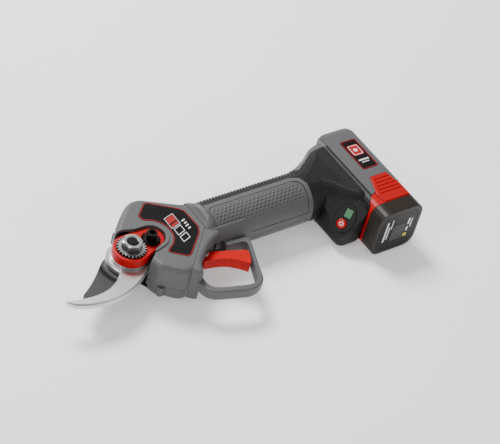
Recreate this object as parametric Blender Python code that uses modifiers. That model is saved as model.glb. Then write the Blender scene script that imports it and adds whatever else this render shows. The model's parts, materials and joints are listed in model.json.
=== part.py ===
"""Battery electric pruner: bypass head, bevel and planetary drive, straight grip,
trigger with loop guard, rear dock and slide-off battery.  Numbers are millimetres, in the tool's
own frame: the blade pivot is the Z axis, +X runs along the grip and -Y is the trigger side."""
import math

import bmesh
import bpy
from mathutils import Matrix, Vector

MM = 0.001
ORIGIN = (-81.26, 8.85, 20.8)         # the tool's frame in the row frame

# driving dimensions
TILT = math.radians(3.5)             # drive axis against the grip axis
HEAD_TOP = 14.3
HEAD_BOTTOM = -16.0
HEAD_SPLIT = -4.9
HEAD_WALL = 2.4
HUB_R = 16.3                         # round root of the fixed blade
BLADE_TOP = 4.0
BLADE_BOTTOM = -0.2
KNIFE_TOP = -0.5
KNIFE_BOTTOM = -4.4
BOLT_R = 4.1
PLATE_R = 13.2
LOBE = (19.0, 3.5, 9.5)              # clamp plate's lobe: x, y, radius
PLATE_Z = (6.3, 13.0)
LOCK = (16.9, 1.5)                   # lock screw axis
GEAR_M = 0.78                        # module of the nut's toothed flange
NUT_TEETH = 26
LOCK_TEETH = 16
CONE = 28.0                          # bevel set: outer distance from the apex
CONE_IN = 20.0
PINION_TEETH = 10
SECTOR_TEETH = 40                    # teeth of the whole circle; the sector has 10
BEVEL_R = 7.0                        # pinion pitch radius at CONE
PLANET_M = 0.6
SUN_TEETH = 12
RING_TEETH = 36
GRIP_Y = 6.7
GRIP_R = 19.0
GRIP_X = (66.5, 153.5)
BATT_X = 204.4                       # battery axis
CAP_HALF = 20.6
DOCK_HALF = 20.4
BAY_HALF = 19.1
STUB_HALF = 18.85
CELL_R = 9.0
DOCK_TOP = 43.0
CAP_Y = (-51.3, -39.2)
SEAM_X = 191.5                       # black rim to grey dock
GUARD_Z = 4.4
GAP = 0.3

SLOTS = {
    "grey_plastic": ((0.24, 0.24, 0.245), 0.0, 0.55),
    "black_plastic": ((0.02, 0.02, 0.021), 0.0, 0.5),
    "grip_rubber": ((0.15, 0.15, 0.153), 0.0, 0.75),
    "red_plastic": ((0.75, 0.012, 0.012), 0.0, 0.4),
    "trigger_red": ((0.85, 0.03, 0.02), 0.0, 0.4),
    "brown_plastic": ((0.045, 0.037, 0.031), 0.0, 0.4),
    "label_black": ((0.02, 0.018, 0.02), 0.0, 0.35),
    "blade_steel": ((0.72, 0.72, 0.72), 1.0, 0.25),
    "coated_steel": ((0.12, 0.12, 0.12), 0.6, 0.5),
    "zinc_steel": ((0.62, 0.62, 0.6), 1.0, 0.35),
    "dark_steel": ((0.06, 0.06, 0.065), 0.9, 0.4),
    "gear_steel": ((0.4, 0.4, 0.41), 1.0, 0.35),
    "bronze": ((0.55, 0.36, 0.16), 1.0, 0.4),
    "aluminium": ((0.65, 0.65, 0.66), 1.0, 0.45),
    "display_green": ((0.11, 0.3, 0.14), 0.0, 0.3),
    "circuit_board": ((0.02, 0.15, 0.06), 0.0, 0.5),
    "cell_wrap": ((0.05, 0.2, 0.45), 0.0, 0.4),
}


def material(slot):
    mat = bpy.data.materials.get(slot)
    if mat:
        return mat
    color, metallic, rough = SLOTS[slot]
    mat = bpy.data.materials.new(slot)
    mat.use_nodes = True
    bsdf = mat.node_tree.nodes["Principled BSDF"]
    bsdf.inputs["Base Color"].default_value = (*color, 1.0)
    bsdf.inputs["Metallic"].default_value = metallic
    bsdf.inputs["Roughness"].default_value = rough
    mat.diffuse_color = (*color, 1.0)
    return mat


for old in list(bpy.data.objects):
    bpy.data.objects.remove(old, do_unlink=True)

PARTS = bpy.data.collections.new("electric_pruner")
CUTTERS = bpy.data.collections.new("cutters")
bpy.context.scene.collection.children.link(PARTS)
bpy.context.scene.collection.children.link(CUTTERS)
FRAME = bpy.data.objects.new("tool_frame", None)
FRAME.location = Vector(ORIGIN) * MM
PARTS.objects.link(FRAME)


# ---------------------------------------------------------------- helpers
def basis(direction=(0, 0, 1), spin=0.0):
    """Rotation whose local +Z is the direction; spin turns about it."""
    d = Vector(direction).normalized()
    if abs(d.z) > 0.9999:
        x = Vector((1, 0, 0))
    else:
        x = Vector((0, 0, 1)).cross(d).normalized()
    y = d.cross(x)
    rot = Matrix((x, y, d)).transposed().to_4x4()
    return rot @ Matrix.Rotation(spin, 4, "Z")


def add(name, mesh, slot, at=(0, 0, 0), rot=None):
    ob = bpy.data.objects.new(name, mesh)
    ob.parent = FRAME
    m = Matrix.Translation(Vector(at) * MM)
    ob.matrix_local = m @ rot if rot else m
    if slot:
        mesh.materials.clear()
        mesh.materials.append(material(slot))
        PARTS.objects.link(ob)
    else:
        ob.hide_render = True
        ob.display_type = "WIRE"
        CUTTERS.objects.link(ob)
    return ob


def bevel(ob, width, segments=2, angle=35):
    mod = ob.modifiers.new("edge", "BEVEL")
    mod.width = width * MM
    mod.segments = segments
    mod.limit_method = "ANGLE"
    mod.angle_limit = math.radians(angle)
    mod.use_clamp_overlap = True
    return ob


def cut(ob, cutter, op="DIFFERENCE", solver="EXACT"):
    mod = ob.modifiers.new("cut", "BOOLEAN")
    mod.operation = op
    mod.solver = solver
    mod.object = cutter
    return ob


def prism(name, loops, z0, z1, slot, at=(0, 0, 0), rot=None):
    """Flat outline (with holes) extruded between z0 and z1."""
    curve = bpy.data.curves.new(name, "CURVE")
    curve.dimensions = "2D"
    curve.fill_mode = "BOTH"
    curve.extrude = (z1 - z0) / 2 * MM
    for loop in loops:
        spline = curve.splines.new("POLY")
        spline.points.add(len(loop) - 1)
        for point, xy in zip(spline.points, loop):
            point.co = (xy[0] * MM, xy[1] * MM, 0, 1)
        spline.use_cyclic_u = True
    tmp = bpy.data.objects.new(name + "_curve", curve)
    CUTTERS.objects.link(tmp)
    mesh = bpy.data.meshes.new_from_object(tmp)
    bpy.data.objects.remove(tmp, do_unlink=True)
    bpy.data.curves.remove(curve)
    bm = bmesh.new()
    bm.from_mesh(mesh)
    bmesh.ops.remove_doubles(bm, verts=bm.verts, dist=1e-6)
    bmesh.ops.translate(bm, verts=bm.verts, vec=(0, 0, (z0 + z1) / 2 * MM))
    bmesh.ops.recalc_face_normals(bm, faces=bm.faces)
    bm.to_mesh(mesh)
    bm.free()
    mesh.name = name
    return add(name, mesh, slot, at, rot)


def box(name, lo, hi, slot, at=(0, 0, 0), rot=None):
    bm = bmesh.new()
    bmesh.ops.create_cube(bm, size=1.0)
    for v in bm.verts:
        for i in range(3):
            v.co[i] = ((lo[i] + hi[i]) / 2 + v.co[i] * (hi[i] - lo[i])) * MM
    mesh = bpy.data.meshes.new(name)
    bm.to_mesh(mesh)
    bm.free()
    return add(name, mesh, slot, at, rot)


def lathe(name, profile, slot, at=(0, 0, 0), rot=None, steps=32, ring=False):
    """Screw of a profile of (radius, height), from the top down its outer side."""
    bm = bmesh.new()
    verts = [bm.verts.new((r * MM, 0, z * MM)) for r, z in profile]
    for a, b in zip(verts, verts[1:]):
        bm.edges.new((a, b))
    if ring:
        bm.edges.new((verts[-1], verts[0]))
    mesh = bpy.data.meshes.new(name)
    bm.to_mesh(mesh)
    bm.free()
    ob = add(name, mesh, slot, at, rot)
    mod = ob.modifiers.new("turn", "SCREW")
    mod.steps = steps
    mod.render_steps = steps
    mod.use_merge_vertices = True
    mod.merge_threshold = 1e-6
    return ob


def rod(name, r, z0, z1, slot, at=(0, 0, 0), rot=None, steps=24):
    return lathe(name, [(0, z1), (r, z1), (r, z0), (0, z0)], slot, at, rot, steps)


def tube(name, ri, ro, z0, z1, slot, at=(0, 0, 0), rot=None, steps=32):
    prof = [(ri, z1), (ro, z1), (ro, z0), (ri, z0)]
    return lathe(name, prof, slot, at, rot, steps, ring=True)


def loft(name, rings, slot, at=(0, 0, 0), rot=None):
    """Skin over closed rings of equal length, capped at both ends."""
    bm = bmesh.new()
    rows = [[bm.verts.new(Vector(p) * MM) for p in ring] for ring in rings]
    n = len(rows[0])
    for a, b in zip(rows, rows[1:]):
        for i in range(n):
            j = (i + 1) % n
            bm.faces.new((a[i], a[j], b[j], b[i]))
    bm.faces.new(list(reversed(rows[0])))
    bm.faces.new(rows[-1])
    bmesh.ops.recalc_face_normals(bm, faces=bm.faces)
    mesh = bpy.data.meshes.new(name)
    bm.to_mesh(mesh)
    bm.free()
    return add(name, mesh, slot, at, rot)


def join(name, obs, slot):
    """One node of several separate solids: their evaluated meshes in one object."""
    deps = bpy.context.evaluated_depsgraph_get()
    bm = bmesh.new()
    for ob in obs:
        mesh = bpy.data.meshes.new_from_object(ob.evaluated_get(deps))
        mesh.transform(ob.matrix_local)
        bm.from_mesh(mesh)
        bpy.data.meshes.remove(mesh)
    for ob in obs:
        bpy.data.objects.remove(ob, do_unlink=True)
    for f in bm.faces:
        f.material_index = 0
    mesh = bpy.data.meshes.new(name)
    bm.to_mesh(mesh)
    bm.free()
    return add(name, mesh, slot)


def arc(cx, cy, r, a0, a1, n):
    return [(cx + r * math.cos(math.radians(a0 + (a1 - a0) * k / n)),
             cy + r * math.sin(math.radians(a0 + (a1 - a0) * k / n))) for k in range(n + 1)]


def rrect(w, h, r, n=4, cx=0.0, cy=0.0):
    """Rounded rectangle of half sizes w and h."""
    pts = []
    for sx, sy, a in ((1, 1, 0), (-1, 1, 90), (-1, -1, 180), (1, -1, 270)):
        pts += arc(cx + sx * (w - r), cy + sy * (h - r), r, a, a + 90, n)
    return pts


def gear(teeth, r, add_h, ded, phase=0.0, inner=False):
    """Outline of a spur gear; phase in teeth.  For an inner gear the teeth point inwards."""
    pts = []
    tip = r - add_h if inner else r + add_h
    root = r + ded if inner else r - ded
    for k in range(teeth):
        for off, rad in ((-0.28, root), (-0.11, tip), (0.11, tip), (0.28, root)):
            a = 2 * math.pi * (k + off + phase) / teeth
            pts.append((rad * math.cos(a), rad * math.sin(a)))
    return pts


def circle(r, n=32, cx=0.0, cy=0.0):
    return arc(cx, cy, r, 0, 360 - 360 / n, n - 1)


AXIS_U = (math.cos(TILT), math.sin(TILT), 0)
DRIVE = basis(AXIS_U)                # local +Z runs along the drive axis
ALONG_X = basis((1, 0, 0))
DOWN_Y = basis((0, -1, 0))


def x_section(x, yc, a, b, r, n=6):
    """Ring of a rounded rectangle in the plane at x."""
    return [(x, p, q) for p, q in rrect(a, b, r, n, yc, 0)]


# ---------------------------------------------------------------- head
HEAD_PLAN = [(59.4, 19.5), (57.5, 23.9), (49.8, 28.6), (38.0, 35.6), (33.5, 38.6), (29.5, 40.2),
             (23.5, 40.0), (18.5, 37.8), (14.5, 34.7), (8.0, 29.0), (2.0, 23.2), (-2.4, 18.0),
             (-3.5, 12.0), (-3.5, -8.0), (5.6, -12.5), (7.6, -18.8), (8.6, -24.0),
             (14.0, -28.0), (20.2, -34.0), (23.5, -35.7), (26.8, -35.8), (59.4, -3.2)]
HEAD_BODY = [(70.0, 20.0)] + HEAD_PLAN[1:-2] + [(30.0, -36.0), (37.0, -34.6), (70.0, -10.0)]
SEAM = [(59.55, -3.25), (18.0, -44.8), (18.0, -70.0), (110.0, -70.0), (110.0, 60.0), (59.55, 60.0)]
NECK_SEAM = [(59.85, -3.25), (59.85, 60.0), (-20.0, 60.0), (-20.0, -60.0), (3.1, -60.0)]


def shrink(points, d):
    """Offset a closed outline inwards by d."""
    out = []
    n = len(points)
    area = sum(points[i - 1][0] * points[i][1] - points[i][0] * points[i - 1][1]
               for i in range(n))
    if area < 0:
        d = -d
    for i in range(n):
        a, b, c = Vector(points[i - 1]), Vector(points[i]), Vector(points[(i + 1) % n])
        e1 = (b - a).normalized()
        e2 = (c - b).normalized()
        n1 = Vector((-e1.y, e1.x))
        n2 = Vector((-e2.y, e2.x))
        m = (n1 + n2) / max(0.35, 1 + n1.dot(n2))
        out.append(tuple(b + m * d))
    return out


def rounded(points, r, n=3):
    """Outline with its corners eased over r either side."""
    out = []
    count = len(points)
    for i in range(count):
        a, b, c = Vector(points[i - 1]), Vector(points[i]), Vector(points[(i + 1) % count])
        p = b + (a - b).normalized() * min(r, (a - b).length * 0.42)
        q = b + (c - b).normalized() * min(r, (c - b).length * 0.42)
        for k in range(n + 1):
            t = k / n
            out.append(tuple(p * (1 - t) ** 2 + b * 2 * t * (1 - t) + q * t * t))
    return out


def pillow(name, plan, z0, z1, r0, r1, slot, steps=3):
    """Solid on a plan outline with its bottom edge rounded by r0 and its top edge by r1."""
    levels = []
    for k in range(steps, -1, -1):
        a = math.pi / 2 * k / steps
        levels.append((z0 + r0 * (1 - math.sin(a)), r0 * (1 - math.cos(a))))
    for k in range(steps + 1):
        a = math.pi / 2 * k / steps
        levels.append((z1 - r1 * (1 - math.sin(a)), r1 * (1 - math.cos(a))))
    rings = []
    last = None
    for z, d in levels:
        if last is None or abs(z - last) > 1e-6:
            rings.append([(x, y, z) for x, y in shrink(plan, d)])
        last = z
    return loft(name, rings, slot)


def lens(r1, x2, y2, r2, n=20):
    """Teardrop: a circle at the origin and a circle at (x2, y2), with their tangents."""
    dist = math.hypot(x2, y2)
    turn = math.degrees(math.atan2(y2, x2))
    half = math.degrees(math.acos((r1 - r2) / dist))
    return (arc(x2, y2, r2, turn - half, turn + half, n // 2)
            + arc(0, 0, r1, turn + half, turn + 360 - half, n))


head_slot = prism("cut_blade_slot", [circle(HUB_R + 0.7, 40)], -20, 20, None)
swing_pts = [(0, 0)] + arc(0, 0, 27, 62, 190, 12)
swing_slot = prism("cut_swing_slot", [swing_pts], KNIFE_BOTTOM - 0.6, BLADE_BOTTOM, None)
plate_hole = prism("cut_plate_hole", [lens(PLATE_R + 0.5, LOBE[0], LOBE[1], LOBE[2] + 0.4)],
                   4.2, 30, None)

upper = pillow("head_cover_upper", rounded(HEAD_BODY, 3.5, 2), HEAD_SPLIT + 0.15, HEAD_TOP, 0, 4.2, "grey_plastic")
seam_cut = prism("cut_seam", [SEAM], -40, 40, None)
cut(upper, seam_cut)
rim_out = lens(PLATE_R + 0.5, LOBE[0], LOBE[1], LOBE[2] + 3.1)
lip = prism("cut_lip", [rim_out], 6, HEAD_TOP + 0.9, None)
bevel(lip, 0.9, 2, 60)
cut(upper, lip, "UNION")
head_in = pillow("cut_head_inside", shrink(HEAD_PLAN, HEAD_WALL), HEAD_SPLIT - 1,
                 HEAD_TOP - 2.4, 0, 2.6, None, 2)
cut(upper, head_in)
cut(upper, plate_hole)
cut(upper, head_slot)
cut(upper, swing_slot)
drive_way = rod("cut_drive_way", 13.7, 34.0, 90.0, None, rot=DRIVE, steps=40)
cut(upper, drive_way)
label_plan = [(33.4, 33.4), (31.0, 33.2), (21.5, 25.0), (20.6, 23.0), (21.4, 19.6)]
label_plan += arc(LOBE[0] - 0.3, LOBE[1] - 0.2, 15.6, 72, -68, 14)
label_plan += [(21.8, -14.0), (23.4, -16.4), (32.4, -23.4), (35.6, -22.8), (52.6, -7.0),
               (55.6, -1.6), (54.8, 15.6), (52.2, 19.4)]
pocket = prism("cut_label_pocket", [shrink(label_plan, -GAP)], HEAD_TOP - 0.5, 20, None)
cut(upper, pocket)
prism("head_label", [label_plan], HEAD_TOP - 0.4, HEAD_TOP + 0.15, "label_black")

lower = pillow("head_cover_lower", rounded(HEAD_BODY, 3.5, 2), HEAD_BOTTOM, HEAD_SPLIT - 0.15, 4.6, 0,
               "grey_plastic")
cut(lower, seam_cut)
for i, (tx, ty) in enumerate(((12.0, -26.2), (44.0, 31.2), (9.0, 29.3))):
    tab = rod("cut_tab_%d" % i, 2.6, HEAD_BOTTOM + 3.2, HEAD_SPLIT - 0.15, None, (tx, ty, 0),
              steps=16)
    cut(lower, tab, "UNION")
lower_in = pillow("cut_lower_inside", shrink(HEAD_PLAN, HEAD_WALL), HEAD_BOTTOM + 2.3,
                  HEAD_SPLIT + 1, 3.0, 0, None, 2)
cut(lower, lower_in)
cut(lower, prism("cut_lower_front", [circle(HUB_R + 0.7, 40)], HEAD_BOTTOM + 2.3, 20, None))
cut(lower, rod("cut_sector_room", 18.8, -13.3, -9.8, None, steps=40))
cut(lower, rod("cut_bolt_way", 7.0, -30, 0, None))
cut(lower, drive_way)
tube("pivot_seat", BOLT_R + 0.15, 6.6, -18.4, -12.9, "aluminium", steps=28)

clamp = pillow("clamp_plate", lens(PLATE_R, *LOBE), PLATE_Z[0], PLATE_Z[1], 0, 0.9, "red_plastic")
cut(clamp, rod("cut_plate_bolt", BOLT_R + 0.3, 0, 20, None))
cut(clamp, rod("cut_plate_lock", 2.8, 0, 20, None, (LOCK[0], LOCK[1], 0), steps=20))
cut(clamp, rod("cut_plate_relief", 8.6, 18.6, 40, None, rot=DRIVE))
flange_r = GEAR_M * NUT_TEETH / 2
nut_af = 6.65
hexagon = [(nut_af / math.cos(math.pi / 6) * math.cos(math.radians(-19.9 + 60 * k)),
            nut_af / math.cos(math.pi / 6) * math.sin(math.radians(-19.9 + 60 * k)))
           for k in range(6)]
flange = prism("cut_flange", [gear(NUT_TEETH, flange_r, 0.7, 0.8, 0.5), circle(BOLT_R + 0.1, 24)],
               PLATE_Z[1] + 0.2, 14.7, "zinc_steel")
hexa = prism("cut_hexagon", [hexagon, circle(BOLT_R + 0.1, 24)], 14.5, 20.0, "zinc_steel")
crown = lathe("cut_crown", [(0, 21), (6.6, 20.2), (8.6, 18.9), (8.6, 12), (0, 12)], None, steps=36)
cut(hexa, crown, "INTERSECT")
nut = join("adjusting_nut_raw", [hexa], "zinc_steel")
nut.name = "cut_nut_body"
cut(flange, nut, "UNION")
bpy.data.objects["cut_nut_body"].hide_render = True
bpy.data.objects["cut_nut_body"].display_type = "WIRE"
PARTS.objects.unlink(nut)
CUTTERS.objects.link(nut)
flange.name = "adjusting_nut"
lathe("pivot_bolt", [(0, 20.5), (3.2, 20.5), (BOLT_R - 0.05, 19.7), (BOLT_R - 0.05, -18.6),
                     (6.3, -18.6), (6.3, -19.6), (5.4, -20.3), (0, -20.3)], "dark_steel", steps=28)
pin_r = GEAR_M * LOCK_TEETH / 2
prism("lock_pinion", [gear(LOCK_TEETH, pin_r, 0.7, 0.8, 0.5 + 0.226), circle(2.6, 20)],
      PLATE_Z[1] + 0.2, 14.9, "dark_steel", (LOCK[0], LOCK[1], 0))
screw = lathe("lock_screw", [(0, 20.8), (3.3, 20.8), (3.9, 20.2), (3.9, 15.2), (2.4, 15.2),
                             (2.4, 6.6), (0, 6.6)], "dark_steel", (LOCK[0], LOCK[1], 0), steps=24)
socket = [(2.3 * math.cos(math.radians(60 * k)), 2.3 * math.sin(math.radians(60 * k)))
          for k in range(6)]
cut(screw, prism("cut_socket", [socket], 17.4, 22, None, (LOCK[0], LOCK[1], 0)))
tube("blade_spacer", BOLT_R + 0.2, 12.9, BLADE_TOP + 0.2, PLATE_Z[0] - 0.2, "zinc_steel")

# ---------------------------------------------------------------- blades
HOOK_OUT = [(3.8, -16.9), (-0.5, -20.4), (-4.0, -22.3), (-11.0, -25.9), (-17.5, -28.2),
            (-25.0, -30.2), (-34.0, -30.7), (-44.0, -29.4), (-51.5, -27.4), (-58.5, -24.0)]
HOOK_IN = [(-62.5, -19.2), (-61.2, -18.0), (-52.0, -20.5), (-44.8, -21.4), (-36.2, -21.5),
           (-27.2, -19.5), (-20.0, -15.9), (-15.6, -11.6)]
hub_arc = arc(0, 0, HUB_R, 215, 78, 12)
hook = (HOOK_OUT[:1] + rounded(HOOK_OUT, 3.2, 2)[3:-3] + HOOK_OUT[-1:] + HOOK_IN[:2]
        + rounded(HOOK_IN, 3.2, 2)[6:-3] + HOOK_IN[-1:] + hub_arc
        + [(8.5, 13.4), (15.8, 12.6), (18.0, 10.0), (18.0, -8.6), (13.0, -12.6), (9.0, -14.2)])
hook = list(reversed(hook))
blade_holes = [circle(BOLT_R + 0.15, 24), circle(1.7, 14, 13.2, 9.4), circle(1.7, 14, 13.2, -8.2)]
bevel(prism("fixed_blade", [hook] + blade_holes, BLADE_BOTTOM, BLADE_TOP, "blade_steel"),
      0.45, 1, 60)
knife_back = [(-47.6, -16.0), (-41.9, -12.8), (-35.5, -8.6), (-27.8, -2.4), (-21.0, 3.8),
              (-17.4, 7.0), (-13.5, 9.4)]
knife_root = arc(0, 0, 15.6, 140, -120, 22)
knife_edge = [(-9.0, -17.0), (-16.0, -21.2), (-24.0, -24.0), (-33.0, -24.6), (-41.0, -22.6),
              (-46.6, -19.4)]
knife_plan = (rounded(knife_back, 3.0, 2)[2:-2] + knife_root
              + rounded(knife_edge, 3.0, 2)[2:-2])
knife = prism("moving_blade", [list(reversed(knife_plan)),
                               circle(BOLT_R + 0.06, 28), circle(1.7, 14, 10.4, 5.4),
                               circle(1.7, 14, 10.4, -5.4)],
              KNIFE_BOTTOM, KNIFE_TOP, "coated_steel")
bevel(knife, 0.4, 1, 60)

# ---------------------------------------------------------------- sector and pinion
drive_deg = math.degrees(TILT)
pitch_deg = 360.0 / SECTOR_TEETH
slope = BEVEL_R / CONE
rows = []
first = drive_deg - pitch_deg
for k in range(8):
    mid = first + pitch_deg * k
    for off, h in ((-0.28, -1.9), (-0.11, 1.0), (0.11, 1.0), (0.28, -1.9)):
        rows.append((mid + pitch_deg * off, h))
rows = [(rows[0][0] - 1.5, -1.9)] + rows + [(rows[-1][0] + 1.5, -1.9)]
rings = []
for ang, h in rows:
    c, s = math.cos(math.radians(ang)), math.sin(math.radians(ang))
    ring = []
    for rho, base in ((CONE + 0.6, False), (CONE_IN - 0.6, False), (CONE_IN - 0.6, True),
                      (CONE + 0.6, True)):
        z = -12.6 if base else (rho / CONE) * (-BEVEL_R + h)
        ring.append((rho * c, rho * s, z))
    rings.append(ring)
sector = loft("sector_gear", rings, "gear_steel")
web_pts = (arc(0, 0, CONE_IN + 0.5, first - 4, first + pitch_deg * 7 + 4, 14)
           + arc(0, 0, 9.5, first + pitch_deg * 7 + 30, 360 + first - 30, 16))
web = prism("cut_web", [web_pts, circle(BOLT_R + 0.06, 28)], -12.6, -10.4, None)
cut(sector, web, "UNION")
boss = prism("cut_boss", [circle(14.2, 28), circle(BOLT_R + 0.06, 28)], -11.2, KNIFE_BOTTOM - 0.02,
             None)
cut(sector, boss, "UNION")
for i, (px, py) in enumerate(((10.4, 5.4), (10.4, -5.4))):
    hole = rod("cut_sector_hole_%d" % i, 1.7, -20, 0, None, (px, py, 0), steps=14)
    cut(sector, hole)
    rod("sector_screw_%d" % (i + 1), 1.55, -11.0, KNIFE_TOP - 0.2, "dark_steel", (px, py, 0),
        steps=14)
pin_out = gear(PINION_TEETH, BEVEL_R, 1.0, 1.5)
tips = [[(x * k, y * k, CONE * k) for x, y in pin_out] for k in (CONE_IN / CONE, 1.0)]
pinion = loft("drive_pinion", tips, "gear_steel", rot=DRIVE)
shaft = rod("cut_pinion_shaft", 4.0, CONE - 0.5, 42.3, None, rot=DRIVE, steps=24)
cut(pinion, shaft, "UNION")
tube("pinion_bearing", 4.03, 9.0, 30.2, 36.0, "bronze", rot=DRIVE)

# bearing block that carries the pinion and the gearbox
block = box("bearing_block", (-17.0, -12.2, 29.8), (17.0, 10.6, 36.4), "aluminium", rot=DRIVE)
bevel(block, 1.2, 1, 60)
cut(block, rod("cut_block_bore", 9.04, 20, 50, None, rot=DRIVE, steps=32))

# two screws fix the blade to the head
for i, (px, py) in enumerate(((13.2, 9.4), (13.2, -8.2))):
    rod("blade_screw_%d" % (i + 1), 1.55, BLADE_BOTTOM + 0.1, BLADE_TOP + 1.6, "dark_steel",
        (px, py, 0), steps=14)

# ---------------------------------------------------------------- planetary gearbox and motor
ring_r = PLANET_M * RING_TEETH / 2
sun_r = PLANET_M * SUN_TEETH / 2
G0, G1 = 45.6, 53.4                  # gear faces along the drive axis
case = prism("gearbox_case", [circle(13.4, 40), gear(RING_TEETH, ring_r, 0.5, 0.7, 0.0, True)],
             G0 - 0.8, G1 + 1.2, "aluminium", rot=DRIVE)
prism("gearbox_front", [circle(13.4, 40), circle(4.3, 24)], 37.0, 38.6, "aluminium", rot=DRIVE)
cut(case, tube("cut_case_wall", 12.0, 13.38, 38.8, G0, None, rot=DRIVE, steps=40), "UNION")
carrier = prism("planet_carrier", [circle(10.0, 32), circle(2.0, 16)], 42.6, 45.0, "gear_steel",
                rot=DRIVE)
for i in range(3):
    a = math.radians(120 * i)
    peg = rod("cut_peg_%d" % i, 1.45, 44.5, G1 + 0.3, None, rot=DRIVE @ Matrix.Translation(
        Vector((7.2 * math.cos(a), 7.2 * math.sin(a), 0)) * MM), steps=14)
    cut(carrier, peg, "UNION")
    local = Vector((7.2 * math.cos(a), 7.2 * math.sin(a), 0)) * MM
    spot = DRIVE @ local
    planet = prism("planet_gear_%d" % (i + 1),
                   [gear(SUN_TEETH, sun_r, 0.5, 0.7, 0.5), circle(1.5, 16)],
                   G0, G1, "bronze", at=tuple(spot / MM), rot=DRIVE @ Matrix.Rotation(a, 4, "Z"))
prism("sun_gear", [gear(SUN_TEETH, sun_r, 0.5, 0.7, 0.0), circle(1.6, 16)], G0 + 0.2, G1 + 0.6,
      "gear_steel", rot=DRIVE)
M0, M1 = 59.5, 108.0
MOTOR_R = 12.8
lathe("motor_rotor", [(0, M1 - 4), (1.55, M1 - 4), (1.55, M1 - 8), (9.0, M1 - 8), (9.0, M0 + 6),
                      (1.55, M0 + 6), (1.55, G0 + 0.4), (0, G0 + 0.4)], "gear_steel", rot=DRIVE)
lathe("motor_can", [(MOTOR_R - 1.3, M1 - 2), (MOTOR_R, M1 - 2), (MOTOR_R, M0), (2.2, M0),
                    (2.2, M0 + 2), (MOTOR_R - 1.3, M0 + 2)], "dark_steel", rot=DRIVE, ring=True)
lathe("motor_cap", [(2.0, M1 + 1.5), (MOTOR_R, M1 + 1.5), (MOTOR_R, M1 - 1.8),
                    (MOTOR_R - 1.8, M1 - 1.8), (MOTOR_R - 1.8, M1 - 0.4), (2.0, M1 - 0.4)],
      "aluminium", rot=DRIVE, ring=True)
board = box("motor_driver", (-9.0, -1.0, M1 + 4), (9.0, 1.0, 148.0), "circuit_board", rot=DRIVE)

# ---------------------------------------------------------------- handle shells, rim and lobe
SECT = [(66.7, GRIP_Y, 19.0, 19.0, 18.99), (152.5, GRIP_Y, 19.0, 19.0, 18.99),
        (159.0, 7.2, 19.4, 19.0, 17.0), (166.0, 8.6, 19.6, 19.2, 14.0),
        (173.0, 7.6, 23.6, 19.4, 11.5), (179.0, 5.6, 29.6, 19.6, 9.5),
        (184.3, 4.0, 32.4, 20.1, 8.0), (188.0, 4.0, 32.8, 20.4, 7.5)]
rear = loft("cut_funnel", [x_section(*s) for s in SECT], "black_plastic")
BORE = [(62.0, GRIP_Y, 16.0, 16.0, 15.99), (152.0, GRIP_Y, 16.0, 16.0, 15.99),
        (166.0, 8.4, 16.6, 16.6, 11.0), (174.0, 7.4, 21.0, 17.0, 8.0),
        (182.0, 5.6, 27.0, 17.4, 6.0)]
bore = loft("cut_bore", [x_section(*s) for s in BORE], None)


def y_section(y, half, r, cx=BATT_X, n=5):
    return [(p, y, q) for p, q in rrect(half, half, r, n, cx, 0)]


dock_rings = [y_section(-37.0, DOCK_HALF, 8.0), y_section(36.5, DOCK_HALF, 8.0),
              y_section(40.4, DOCK_HALF - 1.2, 7.6), y_section(42.4, DOCK_HALF - 3.4, 7.0),
              y_section(DOCK_TOP, DOCK_HALF - 6.4, 6.0)]
dock = loft("cut_dock", dock_rings, None)
left_box = box("cut_left", (150, -60, -40), (SEAM_X - 0.15, 60, 40), None)
lobe = box("cut_lobe", (164.4, -37.2, -20.3), (187.0, 2.0, 17.0), None)
bevel(lobe, 6.5, 4, 60)
PANEL_N = Vector((-0.70, -0.36, 0.61)).normalized()
PANEL_P = Vector((169.2, -28.8, -1.4))
panel_rot = basis(PANEL_N)
slab = box("cut_slant", (-40, -40, 0.0), (40, 40, 40), None, at=PANEL_P, rot=panel_rot)
cut(lobe, slab)
dock_left = loft("cut_dock_left", dock_rings, None)
cut(dock_left, left_box, "INTERSECT")
CORNER = [(170, 60), (170, 30.0), (183.6, 30.0), (185.4, 34.0), (189.0, 37.4), (194.6, 40.2),
          (201.0, 42.4), (207.0, 43.4), (207.0, 60)]
corner_cut = prism("cut_dock_corner", [CORNER], -40, 40, None)
cut(dock_left, corner_cut)
cut(dock, corner_cut)
cut(rear, dock_left, "UNION")
cut(rear, lobe, "UNION")
cut(rear, bore)
bay = prism("cut_bay", [rrect(BAY_HALF, BAY_HALF, 7.0, 5, BATT_X, 0)], -23.5, 60.0, None,
            rot=Matrix.Rotation(math.radians(90), 4, "X"))
bay_end = prism("cut_bay_end", [rrect(16.6, 17.0, 5.0, 5, BATT_X + 1.6, 0)], -34.6, -20.0, None,
                rot=Matrix.Rotation(math.radians(90), 4, "X"))
cut(rear, bay)
cut(rear, bay_end)
lobe_in = box("cut_lobe_inside", (167.6, -33.6, -17.0), (182.6, 0.0, 6.0), None)
cut(lobe_in, box("cut_slant_in", (-40, -40, -3.4), (40, 40, 40), None, at=PANEL_P, rot=panel_rot))
cut(rear, lobe_in)
foot_pts = [(150, -60), (240, -60), (240, -28.3), (191.2, -28.3), (186.1, -33.4), (186.1, -34.6),
            (183.2, -37.3), (150, -37.3)]
cut(rear, prism("cut_rear_trim", [foot_pts], -40, 40, None))
step = GRIP_R - 1.9
seat = tube("cut_panel_seat", step, 40.0, 64.0, GRIP_X[1] + 0.3, None, (0, GRIP_Y, 0), ALONG_X,
            steps=48)
seat_keep = prism("cut_seat_plan", [[(50, 11.7), (143.5, 11.7), (150.5, 9.0), (153.9, 2.0),
                                     (153.9, -40), (50, -40)]], -40, 40, None)
cut(seat, seat_keep, "INTERSECT")
cut(rear, seat)
funnel = join("handle_raw", [rear], "black_plastic")
PARTS.objects.unlink(funnel)
CUTTERS.objects.link(funnel)
funnel.name = "cut_handle_whole"
funnel.hide_render = True
funnel.display_type = "WIRE"
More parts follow.
